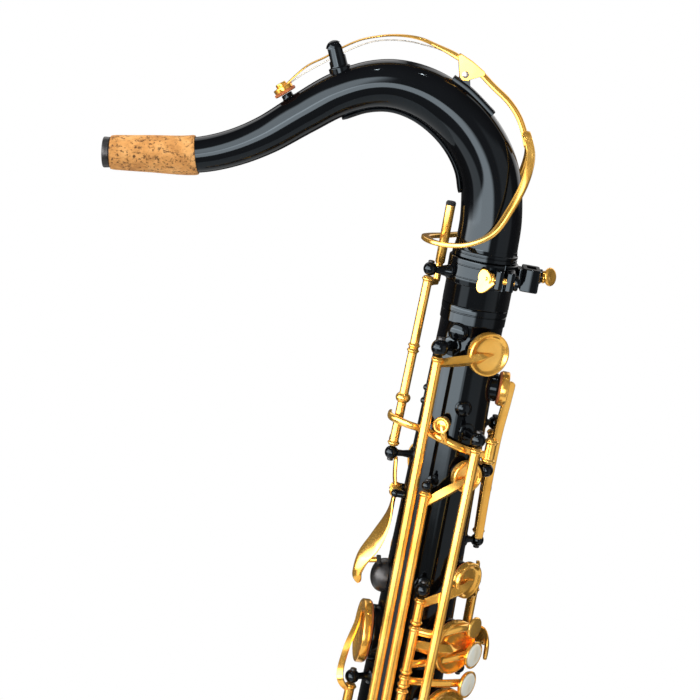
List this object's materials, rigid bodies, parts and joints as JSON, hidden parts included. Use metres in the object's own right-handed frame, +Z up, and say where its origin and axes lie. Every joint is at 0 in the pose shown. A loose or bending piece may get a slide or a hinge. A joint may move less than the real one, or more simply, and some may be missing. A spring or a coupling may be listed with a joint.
{
  "type": "tenor saxophone",
  "caption": "Black-lacquered tenor saxophone with gold-lacquered keywork, corked neck, octave mechanism, hinged side, palm, stack and low keys, bell and strap ring.",
  "frame": {"origin": "middle of the strap ring on the back of the body tube", "axes": "+Z up along the body tube, +X from the player towards the bell, -Y towards the player's right hand"},
  "size_m": [0.3789, 0.159, 0.8065],
  "materials": {
    "black_lacquer": "deep gloss black lacquer over brass",
    "gold_lacquer": "polished brass under clear gold lacquer",
    "cork": "sanded natural cork with dark flecks",
    "black_metal": "satin black",
    "pad_leather": "orange-brown pad leather",
    "pearl": "cream mother-of-pearl",
    "steel": "blued and plain spring steel",
    "felt": "dark felt and cork bumpers"
  },
  "bodies": {
    "instrument_body": {"neck_receiver": "black_lacquer", "lyre_holder": "black_lacquer", "body_tube": "black_lacquer", "bow": "black_lacquer", "bell": "black_lacquer", "body_to_bow_ring": "black_lacquer", "bell_to_bow_ring": "black_lacquer", "bell_brace": "black_lacquer", "bell_key_guard": "gold_lacquer", "low_c_sharp_guard": "gold_lacquer", "low_c_guard": "gold_lacquer", "thumb_rest": "black_metal", "thumb_hook": "gold_lacquer", "strap_ring": "black_lacquer"},
    "neck": {"neck_tube": "black_lacquer", "neck_cork": "cork", "neck_end_ring": "black_metal", "neck_octave_pip": "black_lacquer", "octave_key_guide": "black_lacquer", "neck_key_saddle": "black_lacquer", "neck_brace": "black_lacquer"},
    "neck_octave_key": {"neck_octave_key": "gold_lacquer"},
    "clamp_screw": {"clamp_screw": "gold_lacquer"},
    "lyre_screw": {"lyre_screw": "gold_lacquer"},
    "octave_pin_key": {"octave_pin_key": "gold_lacquer"},
    "body_octave_key": {"body_octave_key": "gold_lacquer"},
    "thumb_octave_lever": {"thumb_octave_lever": "gold_lacquer"},
    "palm_e_flat_key": {"palm_e_flat_key": "gold_lacquer"},
    "palm_d_key": {"palm_d_key": "gold_lacquer"},
    "palm_f_key": {"palm_f_key": "gold_lacquer"},
    "front_f_key": {"front_f_key": "gold_lacquer"},
    "high_e_key": {"high_e_key": "gold_lacquer"},
    "high_f_sharp_key": {"high_f_sharp_key": "gold_lacquer"},
    "side_c_key": {"side_c_key": "gold_lacquer"},
    "side_b_flat_key": {"side_b_flat_key": "gold_lacquer"},
    "small_c_key": {"small_c_key": "gold_lacquer"},
    "b_key": {"b_key": "gold_lacquer"},
    "a_key": {"a_key": "gold_lacquer"},
    "g_key": {"g_key": "gold_lacquer"},
    "bis_key": {"bis_key": "gold_lacquer"},
    "f_sharp_key": {"f_sharp_key": "gold_lacquer"},
    "f_key": {"f_key": "gold_lacquer"},
    "e_key": {"e_key": "gold_lacquer"},
    "d_key": {"d_key": "gold_lacquer"},
    "g_sharp_key": {"g_sharp_key": "gold_lacquer"},
    "low_c_sharp_lever": {"low_c_sharp_lever": "gold_lacquer"},
    "low_b_lever": {"low_b_lever": "gold_lacquer"},
    "low_b_flat_lever": {"low_b_flat_lever": "gold_lacquer"},
    "low_b_key": {"low_b_key": "gold_lacquer"},
    "low_b_flat_key": {"low_b_flat_key": "gold_lacquer"},
    "low_c_sharp_key": {"low_c_sharp_key": "gold_lacquer"},
    "e_flat_key": {"e_flat_key": "gold_lacquer"},
    "low_c_key": {"low_c_key": "gold_lacquer"}
  },
  "joints": [
    {"name": "neck_swivel", "type": "hinge", "parent": "instrument_body", "child": "neck", "pos_m": [0.03273, 0, 0.352], "axis": [0, 0, 1], "range_deg": [-15, 15]},
    {"name": "neck_octave_hinge", "type": "hinge", "parent": "neck", "child": "neck_octave_key", "pos_m": [0.00763, 0, 0.4355], "axis": [0, 1, 0], "range_deg": [0, 1.4], "stiffness_Nm_per_rad": 0.04, "springref_deg": -22.92},
    {"name": "clamp_screw_turn", "type": "hinge", "parent": "instrument_body", "child": "clamp_screw", "pos_m": [0.03273, -0.0229, 0.3461], "axis": [1, 0, 0], "range_deg": [0, 150]},
    {"name": "lyre_screw_turn", "type": "hinge", "parent": "instrument_body", "child": "lyre_screw", "pos_m": [0.05973, 0, 0.348], "axis": [1, 0, 0], "range_deg": [0, 180]},
    {"name": "octave_pin_hinge", "type": "hinge", "parent": "instrument_body", "child": "octave_pin_key", "pos_m": [0.00633, -0.0086, 0.256], "axis": [0, 0, 1], "range_deg": [0, 14], "stiffness_Nm_per_rad": 0.04, "springref_deg": -22.92},
    {"name": "body_octave_hinge", "type": "hinge", "parent": "instrument_body", "child": "body_octave_key", "pos_m": [0.05215, -0.01411, 0.257], "axis": [0, 0, 1], "range_deg": [0, 4], "stiffness_Nm_per_rad": 0.04, "springref_deg": -22.92},
    {"name": "thumb_octave_lever_hinge", "type": "hinge", "parent": "instrument_body", "child": "thumb_octave_lever", "pos_m": [0.01183, 0, 0.232], "axis": [0, -1, 0], "range_deg": [0, 4], "stiffness_Nm_per_rad": 0.04, "springref_deg": -22.92},
    {"name": "palm_e_flat_hinge", "type": "hinge", "parent": "instrument_body", "child": "palm_e_flat_key", "pos_m": [0.02359, 0.02263, 0.248], "axis": [0.0095, -0.0236, 0.9997], "range_deg": [0, 6], "stiffness_Nm_per_rad": 0.04, "springref_deg": -22.92},
    {"name": "palm_d_hinge", "type": "hinge", "parent": "instrument_body", "child": "palm_d_key", "pos_m": [0.02315, 0.02372, 0.202], "axis": [0.0095, -0.0236, 0.9997], "range_deg": [0, 6], "stiffness_Nm_per_rad": 0.04, "springref_deg": -22.92},
    {"name": "palm_f_hinge", "type": "hinge", "parent": "instrument_body", "child": "palm_f_key", "pos_m": [0.05613, 0.008, 0.2155], "axis": [-0.0457, 0.019, 0.9988], "range_deg": [0, 6], "stiffness_Nm_per_rad": 0.04, "springref_deg": -22.92},
    {"name": "front_f_hinge", "type": "hinge", "parent": "instrument_body", "child": "front_f_key", "pos_m": [0.05993, 0.011, 0.147], "axis": [0, 0, 1], "range_deg": [0, 6], "stiffness_Nm_per_rad": 0.04, "springref_deg": -22.92},
    {"name": "high_e_hinge", "type": "hinge", "parent": "instrument_body", "child": "high_e_key", "pos_m": [0.01853, -0.0316, 0.03], "axis": [-0.0018, -0.0312, -0.9995], "range_deg": [0, 6], "stiffness_Nm_per_rad": 0.04, "springref_deg": -22.92},
    {"name": "high_f_sharp_hinge", "type": "hinge", "parent": "instrument_body", "child": "high_f_sharp_key", "pos_m": [0.02493, -0.0322, 0.03], "axis": [-0.0009, -0.0303, -0.9995], "range_deg": [0, 6], "stiffness_Nm_per_rad": 0.04, "springref_deg": -22.92},
    {"name": "side_c_hinge", "type": "hinge", "parent": "instrument_body", "child": "side_c_key", "pos_m": [0.04083, -0.037, 0.03], "axis": [-0.0156, -0.0422, -0.999], "range_deg": [0, 6], "stiffness_Nm_per_rad": 0.04, "springref_deg": -22.92},
    {"name": "side_b_flat_hinge", "type": "hinge", "parent": "instrument_body", "child": "side_b_flat_key", "pos_m": [0.00505, -0.01598, 0.03], "axis": [0.0221, 0.0127, 0.9997], "range_deg": [0, 6], "stiffness_Nm_per_rad": 0.04, "springref_deg": -22.92},
    {"name": "small_c_hinge", "type": "hinge", "parent": "instrument_body", "child": "small_c_key", "pos_m": [0.03248, -0.02552, 0.1746], "axis": [-0.0108, -0.0373, -0.9992], "range_deg": [-7, 0], "stiffness_Nm_per_rad": 0.04, "springref_deg": 22.92},
    {"name": "b_hinge", "type": "hinge", "parent": "instrument_body", "child": "b_key", "pos_m": [0.03221, -0.02645, 0.1496], "axis": [-0.0108, -0.0373, -0.9992], "range_deg": [-7, 0], "stiffness_Nm_per_rad": 0.04, "springref_deg": 22.92},
    {"name": "a_hinge", "type": "hinge", "parent": "instrument_body", "child": "a_key", "pos_m": [0.03179, -0.02791, 0.1106], "axis": [-0.0108, -0.0373, -0.9992], "range_deg": [-7, 0], "stiffness_Nm_per_rad": 0.04, "springref_deg": 22.92},
    {"name": "g_hinge", "type": "hinge", "parent": "instrument_body", "child": "g_key", "pos_m": [0.03133, -0.0295, 0.068], "axis": [-0.0108, -0.0373, -0.9992], "range_deg": [-7, 0], "stiffness_Nm_per_rad": 0.04, "springref_deg": 22.92},
    {"name": "bis_hinge", "type": "hinge", "parent": "instrument_body", "child": "bis_key", "pos_m": [0.03214, -0.02671, 0.1426], "axis": [-0.0108, -0.0373, -0.9992], "range_deg": [-7, 0], "stiffness_Nm_per_rad": 0.04, "springref_deg": 22.92},
    {"name": "f_sharp_hinge", "type": "hinge", "parent": "instrument_body", "child": "f_sharp_key", "pos_m": [0.01785, -0.02798, -0.018], "axis": [-0.012, -0.0225, -0.9997], "range_deg": [-7, 0], "stiffness_Nm_per_rad": 0.04, "springref_deg": 22.92},
    {"name": "f_hinge", "type": "hinge", "parent": "instrument_body", "child": "f_key", "pos_m": [0.01733, -0.02897, -0.062], "axis": [-0.012, -0.0225, -0.9997], "range_deg": [-7, 0], "stiffness_Nm_per_rad": 0.04, "springref_deg": 22.92},
    {"name": "e_hinge", "type": "hinge", "parent": "instrument_body", "child": "e_key", "pos_m": [0.01678, -0.03001, -0.108], "axis": [-0.012, -0.0225, -0.9997], "range_deg": [-7, 0], "stiffness_Nm_per_rad": 0.04, "springref_deg": 22.92},
    {"name": "d_hinge", "type": "hinge", "parent": "instrument_body", "child": "d_key", "pos_m": [0.01615, -0.03118, -0.16], "axis": [-0.012, -0.0225, -0.9997], "range_deg": [-7, 0], "stiffness_Nm_per_rad": 0.04, "springref_deg": 22.92},
    {"name": "g_sharp_hinge", "type": "hinge", "parent": "instrument_body", "child": "g_sharp_key", "pos_m": [0.03539, 0.03036, 0.01], "axis": [-0.0022, -0.0254, 0.9997], "range_deg": [0, 6], "stiffness_Nm_per_rad": 0.04, "springref_deg": -22.92},
    {"name": "low_c_sharp_lever_hinge", "type": "hinge", "parent": "instrument_body", "child": "low_c_sharp_lever", "pos_m": [0.03384, 0.0318, -0.023], "axis": [0, 0, 1], "range_deg": [0, 6], "stiffness_Nm_per_rad": 0.04, "springref_deg": -22.92},
    {"name": "low_b_lever_hinge", "type": "hinge", "parent": "instrument_body", "child": "low_b_lever", "pos_m": [0.03386, 0.03241, -0.047], "axis": [0, 0, 1], "range_deg": [0, 6], "stiffness_Nm_per_rad": 0.04, "springref_deg": -22.92},
    {"name": "low_b_flat_lever_hinge", "type": "hinge", "parent": "instrument_body", "child": "low_b_flat_lever", "pos_m": [0.03389, 0.03302, -0.071], "axis": [0, 0, 1], "range_deg": [0, 6], "stiffness_Nm_per_rad": 0.04, "springref_deg": -22.92},
    {"name": "low_b_hinge", "type": "hinge", "parent": "instrument_body", "child": "low_b_key", "pos_m": [0.09273, -0.035, -0.224], "axis": [0, 0, -1], "range_deg": [-5, 0], "stiffness_Nm_per_rad": 0.06, "springref_deg": 22.92},
    {"name": "low_b_flat_hinge", "type": "hinge", "parent": "instrument_body", "child": "low_b_flat_key", "pos_m": [0.10173, -0.039, -0.163], "axis": [0, 0, -1], "range_deg": [-5, 0], "stiffness_Nm_per_rad": 0.06, "springref_deg": 22.92},
    {"name": "low_c_sharp_hinge", "type": "hinge", "parent": "instrument_body", "child": "low_c_sharp_key", "pos_m": [0.10173, 0.038, -0.248], "axis": [0, 0, 1], "range_deg": [0, 4], "stiffness_Nm_per_rad": 0.06, "springref_deg": -22.92},
    {"name": "e_flat_hinge", "type": "hinge", "parent": "instrument_body", "child": "e_flat_key", "pos_m": [0.01439, -0.03177, -0.214], "axis": [-0.0127, -0.0221, -0.9997], "range_deg": [0, 6], "stiffness_Nm_per_rad": 0.04, "springref_deg": -22.92},
    {"name": "low_c_hinge", "type": "hinge", "parent": "instrument_body", "child": "low_c_key", "pos_m": [0.00564, -0.02616, -0.252], "axis": [-0.0183, -0.0177, -0.9997], "range_deg": [-7, 0], "stiffness_Nm_per_rad": 0.06, "springref_deg": 22.92}
  ],
  "couplings": [
    {"joint": "octave_pin_hinge", "follows": "thumb_octave_lever_hinge", "ratio": 3.5},
    {"joint": "neck_octave_hinge", "follows": "thumb_octave_lever_hinge", "ratio": 0.35},
    {"joint": "small_c_hinge", "follows": "a_hinge", "ratio": 1},
    {"joint": "f_sharp_hinge", "follows": "f_hinge", "ratio": 1},
    {"joint": "low_c_sharp_hinge", "follows": "low_c_sharp_lever_hinge", "ratio": 0.66},
    {"joint": "low_b_hinge", "follows": "low_b_lever_hinge", "ratio": -0.83},
    {"joint": "low_b_flat_hinge", "follows": "low_b_flat_lever_hinge", "ratio": -0.83}
  ]
}
